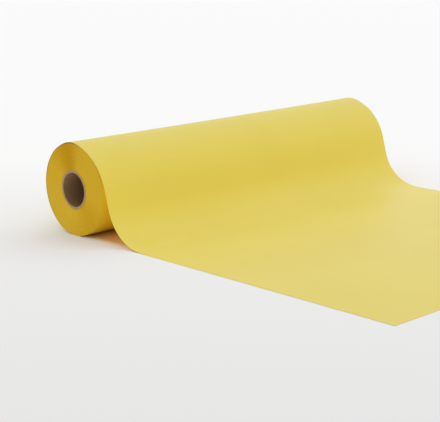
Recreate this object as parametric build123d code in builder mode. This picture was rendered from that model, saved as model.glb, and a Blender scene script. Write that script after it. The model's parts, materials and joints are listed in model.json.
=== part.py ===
"""Roll of self-adhesive sign vinyl, standing on its side with its web paid out along the floor.

Frame, in millimetres: the origin is the centre of the core's bore at mid-width, +Y runs along the bore,
+X points the way the web is paid out and +Z is up. The web leaves the roll over its top, dives in an
S-bend to the floor and lies flat as far as its cut end. The film is outside, the release liner inside.
"""

import os
from math import cos, radians, sin

from build123d import *

os.makedirs("parts", exist_ok=True)

# Web: a laminate of three layers, 24 inches wide.
web_width = 610.0
film_thickness = 0.080
adhesive_thickness = 0.025
liner_thickness = 0.145
web_thickness = film_thickness + adhesive_thickness + liner_thickness

# Core: spirally wound paperboard tube with a 2 inch bore.
bore_radius = 25.4
face_ply_thickness = 0.35
wall_ply_thickness = 0.5
wall_ply_count = 7
core_length = web_width

# Strip of paper tape that holds the start of the web to the core.
tape_thickness = 0.15
tape_width = 24.0
tape_length = 590.0

# Wound web: three packs of turns that stand a little in or out at the ends, then two loose turns.
wound_radius = 68.9
loose_turn_count = 2
inner_pack_share = 0.36
middle_pack_share = 0.70
inner_pack_drift = 0.25
middle_pack_drift = -0.20
outer_pack_drift = 0.10

# Paid-out web: it lies over the roll, clear of it, and rises a little more towards the top.
running_gap = 0.30
top_slack = 0.60
wrap_back_angle = 165.0
lift_angle = 17.4
lift_radius = 82.0
dive_angle = 74.4
landing_radius = 72.0
free_end_x = 606.5
body_gap = 0.30

core_radius = bore_radius + 2 * face_ply_thickness + wall_ply_count * wall_ply_thickness
floor_z = -wound_radius
packed_radius = wound_radius - loose_turn_count * web_thickness
inner_pack_radius = core_radius + inner_pack_share * (packed_radius - core_radius)
middle_pack_radius = core_radius + middle_pack_share * (packed_radius - core_radius)

# The web's outer face over the roll is an arc whose centre stands half the slack above the bore's axis.
wrap_rise = top_slack / 2
wrap_radius = wound_radius + running_gap + wrap_rise + web_thickness
lift_x = (wrap_radius - lift_radius) * sin(radians(lift_angle))
lift_z = wrap_rise + (wrap_radius - lift_radius) * cos(radians(lift_angle))
landing_z = floor_z + web_thickness + landing_radius
drop = lift_z - landing_z + (lift_radius + landing_radius) * cos(radians(dive_angle))
straight_run = drop / sin(radians(dive_angle))
landing_x = (
    lift_x
    + (lift_radius + landing_radius) * sin(radians(dive_angle))
    + straight_run * cos(radians(dive_angle))
)


def finish(part, name):
    """Label a finished piece and write it under its node's name."""
    part.label = name
    export_step(part, f"parts/{name}.step")


def tube(name, inner_radius, outer_radius, length, drift=0.0):
    """A plain tube about the roll's axis, moved along it by drift."""
    with BuildPart() as piece:
        with BuildSketch(Plane.XZ.offset(-drift)):
            Circle(outer_radius)
            Circle(inner_radius, mode=Mode.SUBTRACT)
        extrude(amount=length / 2, both=True)
    finish(piece.part, name)


def core_plies():
    """The core: a smooth kraft ply in the bore, the board plies of the wall and the outer face ply."""
    radius = bore_radius
    tube("core_inner_ply", radius, radius + face_ply_thickness, core_length)
    radius += face_ply_thickness
    for number in range(1, wall_ply_count + 1):
        tube(f"core_wall_ply_{number}", radius, radius + wall_ply_thickness, core_length)
        radius += wall_ply_thickness
    tube("core_outer_ply", radius, core_radius, core_length)


def tape_sector():
    """Outline of the start tape seen along the axis, curved to the core at its underside."""
    half_turn = tape_width / core_radius * 90 / radians(180)
    with BuildLine() as outline:
        under = CenterArc((0, 0), core_radius, 270 - half_turn, 2 * half_turn)
        over = CenterArc((0, 0), core_radius + tape_thickness, 270 - half_turn, 2 * half_turn)
        Line(under @ 0, over @ 0)
        Line(under @ 1, over @ 1)
    make_face(outline.edges())


def start_tape():
    """The tape between the core and the first turn of the web."""
    with BuildPart() as tape:
        with BuildSketch(Plane.XZ):
            tape_sector()
        extrude(amount=tape_length / 2, both=True)
    finish(tape.part, "start_tape")


def inner_pack():
    """The innermost turns, which close over the start tape."""
    with BuildPart() as pack:
        with BuildSketch(Plane.XZ.offset(-inner_pack_drift)):
            Circle(inner_pack_radius)
            Circle(core_radius, mode=Mode.SUBTRACT)
        extrude(amount=web_width / 2, both=True)
        with BuildSketch(Plane.XZ):
            tape_sector()
        extrude(amount=tape_length / 2, both=True, mode=Mode.SUBTRACT)
    finish(pack.part, "wound_web_inner")


def outer_packs():
    """The middle and outer turns of the wound web."""
    tube("wound_web_middle", inner_pack_radius, middle_pack_radius, web_width, middle_pack_drift)
    tube("wound_web_outer", middle_pack_radius, packed_radius, web_width, outer_pack_drift)


def loose_turns():
    """The last turns on the roll, which have sprung free of the pack and of each other."""
    for number in range(1, loose_turn_count + 1):
        inner_radius = packed_radius + (number - 1) * web_thickness
        tube(f"loose_turn_{number}", inner_radius, inner_radius + web_thickness, web_width)


def running_face(depth):
    """One face of the web from behind the roll to the floor, depth under the film's outer face."""
    wrap = CenterArc(
        (0, wrap_rise), wrap_radius - depth, 90 - lift_angle, lift_angle + wrap_back_angle
    )
    lift = CenterArc(
        (lift_x, lift_z), lift_radius - depth, 90 - dive_angle, dive_angle - lift_angle
    )
    landing = CenterArc(
        (landing_x, landing_z), landing_radius + depth, 270 - dive_angle, dive_angle
    )
    Line(lift @ 0, landing @ 0)
    return wrap, landing


def running_layer(name, top_depth, bottom_depth):
    """One layer of the web where it lies over the roll and dives to the floor."""
    with BuildPart() as layer:
        with BuildSketch(Plane.XZ):
            with BuildLine():
                top_wrap, top_landing = running_face(top_depth)
                bottom_wrap, bottom_landing = running_face(bottom_depth)
                Line(top_wrap @ 1, bottom_wrap @ 1)
                Line(top_landing @ 1, bottom_landing @ 1)
            make_face()
        extrude(amount=web_width / 2, both=True)
    finish(layer.part, name)


def floor_layer(name, top_depth, bottom_depth):
    """One layer of the web where it lies flat on the floor, as far as its cut end."""
    start_x = landing_x + body_gap
    with BuildPart() as layer:
        with BuildSketch(Plane.XZ):
            with Locations(((start_x + free_end_x) / 2, floor_z + web_thickness - bottom_depth)):
                Rectangle(
                    free_end_x - start_x,
                    bottom_depth - top_depth,
                    align=(Align.CENTER, Align.MIN),
                )
        extrude(amount=web_width / 2, both=True)
    finish(layer.part, name)


def paid_out_web():
    """The film, adhesive and liner of the web that has left the roll."""
    depth = 0.0
    layers = (
        ("film", film_thickness),
        ("adhesive", adhesive_thickness),
        ("liner", liner_thickness),
    )
    for layer, thickness in layers:
        running_layer(f"running_{layer}", depth, depth + thickness)
        floor_layer(f"floor_{layer}", depth, depth + thickness)
        depth += thickness


core_plies()
start_tape()
inner_pack()
outer_packs()
loose_turns()
paid_out_web()

print(f"roll {2 * wound_radius:.1f} mm across, core {2 * core_radius:.1f} mm across outside")
print(f"web touches the floor at x {landing_x:.1f} mm, after {straight_run:.1f} mm of straight dive")
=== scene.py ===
"""Looks of the roll of sign vinyl: smooth layered web, wound turns, paperboard core, stage and camera."""

import json
from math import cos, pi, radians, sin, sqrt, tau

import bpy
import numpy as np
from mathutils import Matrix, Vector


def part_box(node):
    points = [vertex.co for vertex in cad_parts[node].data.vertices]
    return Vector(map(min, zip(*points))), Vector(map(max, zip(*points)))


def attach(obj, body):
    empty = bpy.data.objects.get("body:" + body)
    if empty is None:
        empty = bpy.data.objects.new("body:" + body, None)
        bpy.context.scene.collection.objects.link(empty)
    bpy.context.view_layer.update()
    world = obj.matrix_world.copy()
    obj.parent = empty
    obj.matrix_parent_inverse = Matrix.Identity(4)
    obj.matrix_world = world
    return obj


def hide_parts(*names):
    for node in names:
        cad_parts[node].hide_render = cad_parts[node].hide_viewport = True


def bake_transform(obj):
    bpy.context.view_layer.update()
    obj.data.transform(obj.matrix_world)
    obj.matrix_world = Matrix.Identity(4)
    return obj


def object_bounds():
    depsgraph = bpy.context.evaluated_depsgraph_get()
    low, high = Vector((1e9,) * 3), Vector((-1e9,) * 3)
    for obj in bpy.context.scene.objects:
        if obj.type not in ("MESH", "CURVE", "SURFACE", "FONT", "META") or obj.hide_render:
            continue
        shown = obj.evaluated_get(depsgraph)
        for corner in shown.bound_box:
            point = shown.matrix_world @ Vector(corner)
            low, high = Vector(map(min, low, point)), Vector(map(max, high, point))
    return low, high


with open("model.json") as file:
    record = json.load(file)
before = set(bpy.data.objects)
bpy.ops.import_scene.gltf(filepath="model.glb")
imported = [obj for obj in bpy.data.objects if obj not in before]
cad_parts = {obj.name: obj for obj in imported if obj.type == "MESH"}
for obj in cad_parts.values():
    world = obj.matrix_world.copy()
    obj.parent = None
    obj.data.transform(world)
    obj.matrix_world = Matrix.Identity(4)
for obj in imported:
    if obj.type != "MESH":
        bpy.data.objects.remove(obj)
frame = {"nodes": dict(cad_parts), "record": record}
cad_low, cad_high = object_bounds()
record = frame["record"]

# ---------------------------------------------------------------------------------------------
# Sizes, in metres, from the frame.

floor_z = cad_low[2]
wound_radius = -floor_z
bore_radius = record["mounts"][0]["dims"]["r_mm"] / 1000
half_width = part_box("running_film")[1].y
foot_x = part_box("floor_liner")[0].x
free_end_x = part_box("floor_liner")[1].x
liner_top_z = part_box("floor_liner")[1].z
adhesive_top_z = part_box("floor_adhesive")[1].z
film_top_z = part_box("floor_film")[1].z

# Depths under the film's outer face at which the film, the adhesive and the liner end.
film_depth = film_top_z - adhesive_top_z
adhesive_depth = film_top_z - liner_top_z
web_thickness = film_top_z - floor_z

# The web's shape over the roll and down to the floor. Angles are slopes down from the level.
wrap_back_angle = radians(165)
wrap_gap = 0.00006
lift_angle = radians(20)
lift_radius = 0.0834
dive_angle = radians(75.1)
upper_landing_radius = 0.0657
lower_landing_angle = radians(21.9)
lower_landing_radius = 0.0833
settling_angle = radians(0.9)
settling_radius = 3.2
bend_blend = 0.012

# The low bubble under the web at the roll's top. It is highest at the web's edges, and there is none
# past bubble_end_s, a length along the web from the roll's top.
bubble_height = 0.0013
bubble_centre = radians(-2)
bubble_reach = radians(27)
bubble_end_s = 0.05
bubble_middle_share = 0.25
bubble_fade = 0.10

# The flat web's lift off the floor: a slow ripple, and a little more at its edges.
ripple_height = 0.00012
edge_height = 0.00012
edge_fade = 0.012
lift_before_foot = 0.01
lift_reach = 0.08

# The rows of the web's mesh, how far past the foot the close ones go, and its columns: those at the
# edges by their distance from the edge, and even ones between.
bend_row_spacing = 0.0022
flat_row_spacing = 0.005
least_row_spacing = 0.0001
close_rows_past_foot = 0.01
edge_columns = (0.0, 0.002, 0.006)
even_columns = 49
even_columns_inset = 0.014

# The ends of the wound web and the core, inside the web's edges.
pack_recess = 0.0006
core_recess = 0.0005
turn_bevel = 0.00006
ply_bevel = 0.00012
ply_end_band = 0.020
sway_height = 0.0002

# The spiral seam of the core's lining: its advance in one turn, and where it starts.
seam_pitch = 0.12
seam_phase = 0.76

white = (1.0, 1.0, 1.0)
black = (0.0, 0.0, 0.0)


def smooth(value):
    """Smoothstep of a value that runs from 0 to 1."""
    value = np.clip(value, 0.0, 1.0)
    return value * value * (3 - 2 * value)


# ---------------------------------------------------------------------------------------------
# Material helpers.


class Nodes:
    """A material's node tree, with short calls for the nodes that it needs."""

    def __init__(self, name):
        self.material = bpy.data.materials.new(name)
        self.material.use_nodes = True
        self.tree = self.material.node_tree
        self.shader = self.tree.nodes["Principled BSDF"]
        self.place = self.add("ShaderNodeTexCoord").outputs["Object"]

    def add(self, kind, **settings):
        node = self.tree.nodes.new(kind)
        for name, value in settings.items():
            setattr(node, name, value)
        return node

    def link(self, output, socket):
        self.tree.links.new(output, socket)

    def put(self, socket, value):
        """Set a socket to a number or link it to an output."""
        if isinstance(value, bpy.types.NodeSocket):
            self.link(value, socket)
        else:
            socket.default_value = value

    def set(self, **values):
        """Set or link the shader's sockets by name."""
        for name, value in values.items():
            self.put(self.shader.inputs[name.replace("_", " ")], value)

    def math(self, operation, a, b=0.0, c=0.0):
        node = self.add("ShaderNodeMath", operation=operation)
        for socket, value in zip(node.inputs, (a, b, c)):
            self.put(socket, value)
        return node.outputs[0]

    def share(self, value, low, high):
        """Where a value lies from low, at 0, to high, at 1."""
        return self.math("MULTIPLY_ADD", value, 1 / (high - low), -low / (high - low))

    def between(self, value, low, high):
        """A value of 0 to 1 spread from low to high."""
        node = self.add("ShaderNodeMapRange")
        self.link(value, node.inputs["Value"])
        node.inputs["To Min"].default_value = low
        node.inputs["To Max"].default_value = high
        return node.outputs["Result"]

    def parts(self):
        """X, Y and Z of the place."""
        node = self.add("ShaderNodeSeparateXYZ")
        self.link(self.place, node.inputs[0])
        return node.outputs["X"], node.outputs["Y"], node.outputs["Z"]

    def radius(self):
        """Distance from the roll's axis."""
        x, _, z = self.parts()
        squares = self.math("ADD", self.math("POWER", x, 2.0), self.math("POWER", z, 2.0))
        return self.math("SQRT", squares)

    def turn(self, at_top=0.0):
        """Angle round the roll's axis, in turns, from its value at the top towards +X."""
        x, _, z = self.parts()
        return self.math("MULTIPLY_ADD", self.math("ARCTAN2", x, z), 1 / tau, at_top)

    def scaled(self, scale):
        """The place, stretched by a factor for each axis."""
        node = self.add("ShaderNodeVectorMath", operation="MULTIPLY")
        self.link(self.place, node.inputs[0])
        node.inputs[1].default_value = scale
        return node.outputs[0]

    def noise(self, scale, detail=2.0, roughness=0.5, where=None, dimensions="3D"):
        node = self.add("ShaderNodeTexNoise", noise_dimensions=dimensions)
        if dimensions == "1D":
            self.link(where, node.inputs["W"])
        else:
            self.link(where or self.place, node.inputs["Vector"])
        node.inputs["Scale"].default_value = scale
        node.inputs["Detail"].default_value = detail
        node.inputs["Roughness"].default_value = roughness
        return node.outputs["Fac"]

    def ramp(self, value, *stops, eased=False):
        node = self.add("ShaderNodeValToRGB")
        node.color_ramp.interpolation = "EASE" if eased else "LINEAR"
        elements = node.color_ramp.elements
        while len(elements) < len(stops):
            elements.new(0.5)
        for element, (position, colour) in zip(elements, stops):
            element.position = position
            element.color = (*colour, 1.0)
        self.link(value, node.inputs[0])
        return node.outputs[0]

    def mottle(self, value, dark, light):
        """Two close colours, mixed by a noise."""
        return self.ramp(value, (0.3, dark), (0.7, light))

    def tinted(self, colour, tint):
        """One colour multiplied by another."""
        node = self.add("ShaderNodeMix", data_type="RGBA", blend_type="MULTIPLY")
        node.inputs["Factor"].default_value = 1.0
        self.link(colour, node.inputs[6])
        self.link(tint, node.inputs[7])
        return node.outputs[2]

    def bump(self, height, distance, strength, under=None):
        node = self.add("ShaderNodeBump")
        node.inputs["Strength"].default_value = strength
        node.inputs["Distance"].default_value = distance
        self.link(height, node.inputs["Height"])
        if under is not None:
            self.link(under, node.inputs["Normal"])
        return node.outputs["Normal"]


def film_material(name, dark, light, painted_light_along_web=False):
    """Satin calendered vinyl: even colour, fine calender grain and a broad soft sheen.

    The film is a little translucent. Laid out, its colour carries painted light along the web: painted shade
    makes it deepest in the dive, where the dark gap is behind it, and a painted sheen makes it palest just
    past the landing, where the white floor is.
    """
    m = Nodes(name)
    colour = m.mottle(m.noise(9.0, 3.0), dark, light)
    if painted_light_along_web:
        x, _, z = m.parts()
        along = m.share(m.math("SUBTRACT", x, z), -0.1, 0.7)
        # Painted shade deepens the film in the dive, and a painted sheen makes it paler and whiter past the
        # landing.
        colour = m.tinted(colour, m.ramp(
            along,
            (0.06, (0.96, 0.98, 1.00)),
            (0.25, (1.05, 1.03, 0.66)),
            (0.34, (1.01, 1.02, 1.02)),
            (0.40, (1.045, 1.08, 1.60)),
            (0.65, (0.98, 1.005, 1.38)),
            (0.90, (0.95, 0.97, 1.12)),
            eased=True,
        ))
    grain = m.noise(2600.0, 2.0)
    peel = m.noise(420.0, 2.0)
    m.set(
        Base_Color=colour,
        Roughness=m.between(m.noise(60.0, 3.0), 0.44, 0.52),
        Specular_IOR_Level=0.6,
        Normal=m.bump(grain, 0.00002, 0.5, m.bump(peel, 0.00003, 0.5)),
    )
    return m.material


def adhesive_material():
    """Clear adhesive, seen only as a hairline at the cut edges."""
    m = Nodes("clear_adhesive")
    m.set(
        Base_Color=m.mottle(m.noise(300.0), (0.72, 0.57, 0.10), (0.77, 0.61, 0.13)),
        Roughness=m.between(m.noise(900.0), 0.22, 0.34),
    )
    return m.material


def liner_material():
    """Release liner: a golden siliconed paper with faint fibres."""
    m = Nodes("release_liner")
    fibres = m.noise(1.0, 4.0, 0.6, m.scaled((700.0, 260.0, 700.0)))
    m.set(
        Base_Color=m.mottle(fibres, (0.72, 0.55, 0.10), (0.77, 0.60, 0.13)),
        Roughness=m.between(fibres, 0.42, 0.56),
        Normal=m.bump(fibres, 0.00003, 0.6),
    )
    return m.material


def wound_material():
    """Ends of the wound web: fine rings, with painted reflection and shade by angle: a deep sector at the top
    and a faint one low on +X.
    """
    m = Nodes("wound_web")
    radius = m.radius()
    rings = m.noise(3600.0, 3.0, 0.7, radius, "1D")
    bands = m.noise(260.0, 2.0, 0.5, radius, "1D")
    tone = m.tinted(
        m.mottle(bands, (0.710, 0.467, 0.022), (0.74, 0.487, 0.026)),
        m.ramp(rings, (0.25, (0.94, 0.93, 0.88)), (0.75, (0.99, 0.99, 0.98))),
    )
    # Painted reflection and shade: the turns' edges are darker in a sector at the top and a faint one low on
    # +X, paler and whiter between.
    painted_reflection_sectors = m.ramp(
        m.turn(at_top=0.5),
        (0.0, (1.01, 0.99, 1.12)),
        (0.05, (1.02, 1.02, 1.45)),
        (0.20, (0.99, 0.98, 1.38)),
        (0.32, (0.985, 0.94, 0.98)),
        (0.467, (0.80, 0.645, 0.12)),
        (0.565, (0.96, 0.92, 0.98)),
        (0.62, (0.985, 0.955, 1.12)),
        (0.76, (1.0, 0.955, 1.02)),
        (0.895, (0.94, 0.845, 0.50)),
        (1.0, (1.01, 0.99, 1.12)),
        eased=True,
    )
    tangent = m.add("ShaderNodeTangent", direction_type="RADIAL", axis="Y")
    m.set(
        Tangent=tangent.outputs[0],
        Base_Color=m.tinted(tone, painted_reflection_sectors),
        Roughness=m.between(m.noise(800.0), 0.40, 0.50),
        Metallic=0.2,
        Specular_IOR_Level=0.02,
        Anisotropic=0.8,
        Anisotropic_Rotation=0.25,
        Normal=m.bump(rings, 0.00005, 0.5),
    )
    return m.material


def board_material(name, dark, light, grain=900.0):
    """Paperboard: mottled recycled fibre."""
    m = Nodes(name)
    fibre = m.noise(grain, 4.0, 0.65)
    fleck = m.noise(grain * 3.1, 2.0, 0.5)
    m.set(
        Base_Color=m.mottle(fibre, dark, light),
        Roughness=m.between(fleck, 0.82, 0.95),
        Specular_IOR_Level=0.25,
        Normal=m.bump(fleck, 0.00008, 0.7, m.bump(fibre, 0.00015, 0.6)),
    )
    return m.material


def bore_material():
    """Brown kraft lining of the core, wound as a spiral strip whose seam shows as a fine dark line."""
    m = Nodes("kraft_bore")
    fibre = m.noise(500.0, 4.0, 0.65)
    fleck = m.noise(1500.0, 2.0, 0.5)
    _, y, z = m.parts()
    along = m.math("MULTIPLY_ADD", y, 1 / seam_pitch, m.turn())
    strip = m.math("FRACT", m.math("ADD", along, seam_phase))
    seam = m.ramp(
        strip,
        (0.0, (0.55, 0.50, 0.45)),
        (0.012, (1.06, 1.06, 1.06)),
        (0.05, white),
        (0.97, white),
        (1.0, (0.94, 0.94, 0.94)),
    )
    lining = m.tinted(m.mottle(fibre, (0.295, 0.18, 0.09), (0.355, 0.22, 0.115)), seam)
    # Painted shade: the lining is lighter towards the top of the bore and darker towards its bottom.
    painted_shade_by_height = m.ramp(
        m.share(z, -0.025, 0.025),
        (0.1, (0.74, 0.68, 0.60)),
        (0.5, (0.95, 0.94, 0.90)),
        (0.9, (1.28, 1.28, 1.24)),
    )
    m.set(
        Base_Color=m.tinted(lining, painted_shade_by_height),
        Roughness=m.between(fleck, 0.80, 0.93),
        Specular_IOR_Level=0.25,
        Normal=m.bump(fleck, 0.00006, 0.6, m.bump(fibre, 0.00012, 0.5)),
    )
    return m.material


# ---------------------------------------------------------------------------------------------
# Mesh helpers.


def make_piece(name, points, faces, material, sharp=radians(35)):
    """An object from points and faces, smooth shaded except at its edges."""
    mesh = bpy.data.meshes.new(name)
    mesh.from_pydata(points, [], faces)
    mesh.update()
    mesh.shade_smooth()
    mesh.set_sharp_from_angle(angle=sharp)
    mesh.materials.append(material)
    piece = bpy.data.objects.new(name, mesh)
    bpy.context.scene.collection.objects.link(piece)
    return piece


def lathe(name, rings, material, segments=240, sway=None, skin=None):
    """Turn a closed outline of (radius, y) points about the roll's axis.

    sway moves a point's radius. skin is the material of the outer cylinder, where it isn't that of
    the ends.
    """
    angles = np.arange(segments) * tau / segments
    outline = np.array(rings)
    radius = np.repeat(outline[:, :1], segments, 1)
    if sway is not None:
        radius = radius + sway(radius, angles[None, :])
    x = radius * np.sin(angles)
    z = radius * np.cos(angles)
    y = np.repeat(outline[:, 1:], segments, 1)
    points = np.stack([x, y, z], -1).reshape(-1, 3)
    count = len(outline)
    faces = []
    for i in range(count):
        a, b = i * segments, (i + 1) % count * segments
        for j in range(segments):
            k = (j + 1) % segments
            faces.append((a + j, a + k, b + k, b + j))
    piece = make_piece(name, points.tolist(), faces, material)
    if skin is not None:
        piece.data.materials.append(skin)
        largest = outline[:, 0].max()
        for i in range(count):
            if min(outline[i, 0], outline[(i + 1) % count, 0]) == largest:
                for face in piece.data.polygons[i * segments:(i + 1) * segments]:
                    face.material_index = 1
    return piece


def rim_outline(inner, outer, end, bevel, band=0.0):
    """Closed (radius, y) outline of a tube with softened ends.

    band sets a ring of faces at each end apart, so that the bevel's shading stays near it.
    """
    outline = []
    for side in (-1, 1):
        rim = [(inner, side * (end - bevel)), (inner + bevel, side * end),
               (outer - bevel, side * end), (outer, side * (end - bevel))]
        if band:
            rim = [(inner, side * (end - band)), *rim, (outer, side * (end - band))]
        outline += rim if side < 0 else rim[::-1]
    return outline


def on_roll(piece, node):
    """Let a piece of the roll stand for its CAD node."""
    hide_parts(node)
    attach(piece, "roll")


# ---------------------------------------------------------------------------------------------
# The paid-out web.


def web_path(step=0.00025, passes=5):
    """Lengths, places and slopes of the film's outer face, from behind the roll to the free end.

    Lengths start at the roll's top. The passes settle the straight part of the dive, so that the web
    comes down just to the floor.
    """
    radius = wound_radius + wrap_gap + web_thickness
    straight = 0.023
    for _ in range(passes):
        knots = (
            (lift_angle * radius, lift_angle),
            ((dive_angle - lift_angle) * lift_radius, dive_angle),
            (straight, dive_angle),
            ((dive_angle - lower_landing_angle) * upper_landing_radius, lower_landing_angle),
            ((lower_landing_angle - settling_angle) * lower_landing_radius, settling_angle),
            (settling_angle * settling_radius, 0.0),
            (2 * free_end_x, 0.0),
        )
        lengths = [-wrap_back_angle * radius, *np.cumsum([length for length, _ in knots])]
        slopes = [-wrap_back_angle] + [slope for _, slope in knots]
        s = np.arange(lengths[0], lengths[-1] - 2 * bend_blend, step)
        window = np.hanning(2 * round(bend_blend / step) + 1)
        window /= window.sum()
        reach = len(window) // 2
        padded = np.interp(np.arange(-reach, len(s) + reach) * step + s[0], lengths, slopes)
        padded[:reach] = np.arange(-reach, 0) * step / radius - wrap_back_angle
        slope = np.convolve(padded, window, "valid")
        middle = (slope[1:] + slope[:-1]) / 2
        x = np.concatenate([[0.0], np.cumsum(np.cos(middle)) * step])
        z = np.concatenate([[0.0], -np.cumsum(np.sin(middle)) * step])
        x += radius * sin(-wrap_back_angle)
        z += radius * cos(wrap_back_angle)
        straight += (z[-1] - film_top_z) / sin(dive_angle)
    keep = x <= free_end_x
    return s[keep], x[keep], z[keep], slope[keep]


path_s, path_x, path_z, path_slope = web_path()


def path_at(s):
    """Place and slope of the film's outer face at a length along the web."""
    return (np.interp(s, path_s, values) for values in (path_x, path_z, path_slope))


def length_at(x):
    """Length along the web at which it stands over an x past the roll's top."""
    past_top = path_s > 0
    return np.interp(x, path_x[past_top], path_s[past_top])


def web_stations():
    """Lengths along the web at which its mesh has a row: close in the bends, wide where it is flat."""
    rows = [path_s[0]]
    close_until = length_at(foot_x) + close_rows_past_foot
    while rows[-1] < path_s[-1] - least_row_spacing:
        spacing = bend_row_spacing if rows[-1] < close_until else flat_row_spacing
        rows.append(min(rows[-1] + spacing, path_s[-1]))
    return np.array(rows)


def web_surface(depth, s, y):
    """Points of the web at a depth under the film's outer face, over a grid of lengths and widths."""
    s = s[:, None]
    y = y[None, :]
    x, z, slope = path_at(s)
    inset = half_width - np.abs(y)
    angle = np.where(s < bubble_end_s, slope, pi)
    bubble = 0.5 + 0.5 * np.cos(np.clip((angle - bubble_centre) / bubble_reach, -1, 1) * pi)
    near_edge = bubble_middle_share + (1 - bubble_middle_share) * np.exp(-inset / bubble_fade)
    out = bubble_height * bubble * near_edge - depth
    flat = smooth((x - foot_x + lift_before_foot) / lift_reach) * (s > 0)
    ripple = 0.5 + 0.25 * np.sin(x * 23 + y * 6 + 1.0) + 0.25 * np.sin(x * 11 - y * 17 + 2.4)
    lift = flat * (ripple_height * ripple + edge_height * np.exp(-inset / edge_fade))
    px = x + out * np.sin(slope)
    pz = z + out * np.cos(slope) + lift
    return np.stack([px, y + 0 * px, pz], -1)


def web_layer(name, top_depth, bottom_depth, material):
    """One closed thin layer of the web, from behind the roll to the cut end."""
    s = web_stations()
    even_reach = half_width - even_columns_inset
    y = np.concatenate([
        [inset - half_width for inset in edge_columns],
        np.linspace(-even_reach, even_reach, even_columns),
        [half_width - inset for inset in reversed(edge_columns)],
    ])
    rows, columns = len(s), len(y)
    top = web_surface(top_depth, s, y).reshape(-1, 3)
    bottom = web_surface(bottom_depth, s, y).reshape(-1, 3)
    count = rows * columns
    faces = []
    for i in range(rows - 1):
        for j in range(columns - 1):
            a, b = i * columns + j, (i + 1) * columns + j
            faces.append((a, b, b + 1, a + 1))
            faces.append((count + a, count + a + 1, count + b + 1, count + b))
        a, b = i * columns, (i + 1) * columns
        faces.append((a, count + a, count + b, b))
        a, b = a + columns - 1, b + columns - 1
        faces.append((a, b, count + b, count + a))
    for j in range(columns - 1):
        faces.append((j, j + 1, count + j + 1, count + j))
        a = (rows - 1) * columns + j
        faces.append((a + 1, a, count + a, count + a + 1))
    return make_piece(name, np.concatenate([top, bottom]).tolist(), faces, material)


vinyl = film_material("vinyl_film", (0.730, 0.583, 0.068), (0.746, 0.599, 0.076), painted_light_along_web=True)
layers = (
    ("film", 0.0, film_depth, vinyl, "vinyl_film"),
    ("adhesive", film_depth, adhesive_depth, adhesive_material(), "adhesive"),
    ("liner", adhesive_depth, web_thickness, liner_material(), "release_liner"),
)
for layer, top_depth, bottom_depth, material, slot in layers:
    piece = web_layer(f"web_{layer}", top_depth, bottom_depth, material)
    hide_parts(f"running_{layer}", f"floor_{layer}")
    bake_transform(piece)

# ---------------------------------------------------------------------------------------------
# The wound web.


def pack_outline(inner, outer, drift, seed, spacing=0.00055, rough=0.00006):
    """Closed (radius, y) outline of a pack of turns whose edges stand a little in and out."""
    draw = np.random.default_rng(seed)
    steps = max(3, round((outer - inner) / spacing))
    radius = np.linspace(inner, outer, steps + 1)
    outline = []
    for side in (-1, 1):
        wander = np.cumsum(draw.normal(0, rough * 0.5, steps + 1))
        wander -= np.linspace(wander[0], wander[-1], steps + 1)
        jitter = draw.uniform(-rough, rough * 0.4, steps + 1)
        jitter[[0, -1]] = 0.0
        y = side * (half_width - pack_recess) + drift + side * (wander * 0.5 + jitter)
        order = slice(None) if side < 0 else slice(None, None, -1)
        outline += list(zip(radius[order], y[order]))
    return outline


def turn_sway(inner, outer, seed):
    """Small swings of the turns off a true circle, none at a pack's inside and outside."""
    draw = np.random.default_rng(seed)
    phases = draw.uniform(0, tau, 3)

    def sway(radius, angles):
        share = np.clip((radius - inner) / (outer - inner), 0, 1)
        swing = sum(np.cos(n * angles + phase) / n for n, phase in zip((2, 3, 5), phases))
        return sway_height * np.sin(share * pi) * swing

    return sway


turn_edges = wound_material()
# A copy of the film with painted shade for the roll's outer turns: deeper in colour, partly because a full
# roll of translucent film looks deeper than it does over its liner alone, and partly standing in for yellow
# light bounced between the roll and the web.
painted_shade_vinyl = film_material("vinyl_wound", (0.77, 0.585, 0.018), (0.79, 0.605, 0.022))

# Each pack's node, how far its ends are shifted along the roll, and the seed of its unevenness.
packs = (
    ("wound_web_inner", 0.00002, 3),
    ("wound_web_middle", -0.00002, 5),
    ("wound_web_outer", 0.00001, 8),
)
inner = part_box("core_outer_ply")[1].x
for node, drift, seed in packs:
    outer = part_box(node)[1].x
    outline = pack_outline(inner, outer, drift, seed)
    piece = lathe(f"{node}_turns", outline, turn_edges, sway=turn_sway(inner, outer, seed))
    on_roll(piece, node)
    inner = outer

# The last two turns stand a little out of the pack.
for node, stand_out in (("loose_turn_1", 0.00015), ("loose_turn_2", 0.00035)):
    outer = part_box(node)[1].x
    end = half_width - pack_recess + stand_out
    outline = rim_outline(outer - web_thickness, outer, end, turn_bevel)
    piece = lathe(f"{node}_edge", outline, turn_edges, skin=painted_shade_vinyl)
    on_roll(piece, node)

# ---------------------------------------------------------------------------------------------
# The core.

kraft = bore_material()
pale_board = board_material("board_pale", (0.42, 0.31, 0.20), (0.53, 0.40, 0.275))
amber_board = board_material("board_amber", (0.45, 0.30, 0.075), (0.55, 0.37, 0.11))
ply_nodes = ["core_inner_ply"] + [f"core_wall_ply_{n}" for n in range(1, 8)] + ["core_outer_ply"]
ply_stand_outs = (0.00035, 0.0, 0.00012, -0.00005, 0.0001, -0.00008, 0.00006, 0.0, 0.00015)
inner = bore_radius
for number, (node, stand_out) in enumerate(zip(ply_nodes, ply_stand_outs)):
    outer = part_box(node)[1].x
    outline = rim_outline(inner, outer, half_width - core_recess + stand_out, ply_bevel, ply_end_band)
    material = kraft if number == 0 else pale_board if number < 4 else amber_board
    piece = lathe(f"{node}_tube", outline, material, segments=192)
    on_roll(piece, node)
    inner = outer

tape = frame["nodes"]["start_tape"]
tape.data.materials.clear()
tape.data.materials.append(board_material("paper_tape", (0.62, 0.50, 0.28), (0.70, 0.58, 0.35), 1500.0))

# ---------------------------------------------------------------------------------------------
# The stage: floor, studio and the light that comes through the web.


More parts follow.
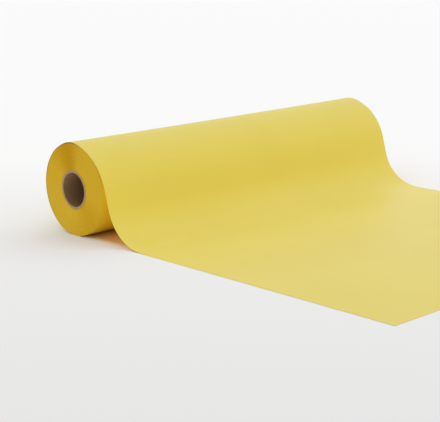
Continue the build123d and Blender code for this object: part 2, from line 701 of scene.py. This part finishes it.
def floor_material():
    """Pale seamless floor, with painted light: lighter behind the roll than before the cut end.

    Under the dive it has a painted amber shade, where only the web's glow falls.
    """
    m = Nodes("pale_floor")
    x, y, _ = m.parts()
    back = m.math("ADD", m.math("MULTIPLY", x, -0.68), m.math("MULTIPLY", y, 0.73))
    # Painted light: the floor is lighter behind the roll and darker before the cut end.
    pale = m.ramp(
        m.share(back, -2.0, 8.0),
        (0.10, (0.765, 0.765, 0.76)),
        (0.15, (0.81, 0.81, 0.805)),
        (0.19, (0.86, 0.86, 0.855)),
        (0.235, (0.922, 0.922, 0.922)),
        (0.6, (0.93, 0.93, 0.93)),
    )
    # Painted shade: the floor under the dive, inside the web's edges, is darkened to amber.
    under_dive = m.ramp(
        m.share(x, -0.02, 0.18), (0.0, black), (0.1, white), (0.55, white), (0.9, black), eased=True,
    )
    inset = m.math("SUBTRACT", half_width, m.math("ABSOLUTE", y))
    under_web = m.ramp(inset, (0.004, black), (0.019, white), eased=True)
    painted_amber_shade = m.ramp(
        m.math("MULTIPLY", under_dive, under_web), (0.0, white), (1.0, (0.80, 0.585, 0.365)),
    )
    m.set(
        Base_Color=m.tinted(pale, painted_amber_shade),
        Roughness=m.between(m.noise(40.0), 0.85, 0.92),
        Specular_IOR_Level=0.1,
    )
    return m.material


def studio_dome(horizon=0.88, overhead=1.04, overhead_from=0.40, behind_gain=0.20):
    """White studio all round: a little dimmer at the horizon, and brighter behind the roll than before it."""
    world = bpy.data.worlds.new("studio")
    world.use_nodes = True
    tree = world.node_tree
    dome = tree.nodes["Background"]
    dome.inputs["Color"].default_value = (1.0, 1.0, 1.0, 1.0)
    direction = tree.nodes.new("ShaderNodeTexCoord")
    parts = tree.nodes.new("ShaderNodeSeparateXYZ")
    rise = tree.nodes.new("ShaderNodeMapRange")
    rise.inputs["From Max"].default_value = overhead_from
    rise.inputs["To Min"].default_value = horizon
    rise.inputs["To Max"].default_value = overhead
    behind = tree.nodes.new("ShaderNodeMath")
    behind.operation = "MULTIPLY_ADD"
    behind.inputs[1].default_value = behind_gain
    behind.inputs[2].default_value = 1.0
    level = tree.nodes.new("ShaderNodeMath")
    level.operation = "MULTIPLY"
    tree.links.new(direction.outputs["Generated"], parts.inputs[0])
    tree.links.new(parts.outputs["Z"], rise.inputs["Value"])
    tree.links.new(parts.outputs["Y"], behind.inputs[0])
    tree.links.new(rise.outputs[0], level.inputs[0])
    tree.links.new(behind.outputs[0], level.inputs[1])
    tree.links.new(level.outputs[0], dome.inputs["Strength"])
    return world


def glow_light(name, place, direction, size, power, colour):
    """A hidden area light that shines along a direction."""
    data = bpy.data.lights.new(name, "AREA")
    data.shape = "RECTANGLE"
    data.size, data.size_y = size
    data.energy = power
    data.color = colour
    light = bpy.data.objects.new(name, data)
    bpy.context.scene.collection.objects.link(light)
    light.location = place
    light.rotation_euler = direction.to_track_quat("-Z", "Y").to_euler()
    light.visible_camera = False
    light.visible_glossy = False


def glow_row(name, count, start_s, end_s, level, colour):
    """A row of narrow lights just under the web, between two lengths along it."""
    depth = (end_s - start_s) / count
    power = level * pi * 2 * half_width * depth
    size = (2 * (half_width - glow_side_gap), depth)
    for number in range(count):
        x, z, slope = path_at(start_s + (number + 0.5) * depth)
        inward = Vector((-sin(slope), 0.0, -cos(slope)))
        gap = sqrt(x * x + z * z) - wound_radius - web_thickness
        standoff = min(glow_standoff, glow_gap_share * gap)
        place = Vector((x, 0.0, z)) + (web_thickness + standoff) * inward
        glow_light(f"{name}_{number + 1}", place, inward, size, power, colour)


bpy.ops.mesh.primitive_circle_add(vertices=128, radius=60, fill_type="NGON", location=(0, 0, floor_z))
floor = bpy.context.object
floor.name = "stage_floor"
floor.data.materials.append(floor_material())
bpy.context.scene.world = studio_dome()

# Daylight that comes through the thin web and warms the gap between the roll, the dive and the floor:
# rows of lights from the bubble at the roll's top to where the web lands.
glow_standoff = 0.0010
glow_gap_share = 0.45
glow_side_gap = 0.005
amber = (1.0, 0.67, 0.10)
deep_amber = (1.0, 0.52, 0.03)
crescent_start_s = radians(-26) * wound_radius
crescent_end_s = radians(24) * wound_radius
landing_end_s = length_at(foot_x - 0.006)
dive_end_s = 0.55 * landing_end_s
glow_row("crescent_glow", 12, crescent_start_s, crescent_end_s, 0.20, amber)
glow_row("dive_glow", 8, crescent_end_s, dive_end_s, 0.64, amber)
glow_row("landing_glow", 7, dive_end_s, landing_end_s, 0.46, deep_amber)

# ---------------------------------------------------------------------------------------------
# The camera stands to the right of the near end and looks down along the roll.

camera_place = Vector((1.47694, -1.37286, 0.38618))
camera_azimuth = radians(47.381)
camera_pitch = radians(13.114)
camera_roll = radians(-0.934)
sensor_width_mm = 36.0
lens_mm = 103.2586

forward = Vector((-sin(camera_azimuth) * cos(camera_pitch), cos(camera_azimuth) * cos(camera_pitch),
                  -sin(camera_pitch)))
level_right = forward.cross(Vector((0, 0, 1))).normalized()
level_up = level_right.cross(forward)
right = level_right * cos(camera_roll) + level_up * sin(camera_roll)
up = level_up * cos(camera_roll) - level_right * sin(camera_roll)
camera_data = bpy.data.cameras.new("camera")
camera_data.sensor_width = sensor_width_mm
camera_data.lens = lens_mm
camera_data.clip_end = 200
camera = bpy.data.objects.new("camera", camera_data)
camera.matrix_world = Matrix.Translation(camera_place) @ Matrix((right, up, -forward)).transposed().to_4x4()
bpy.context.scene.collection.objects.link(camera)
bpy.context.scene.camera = camera
bpy.context.scene.view_settings.view_transform = "Standard"
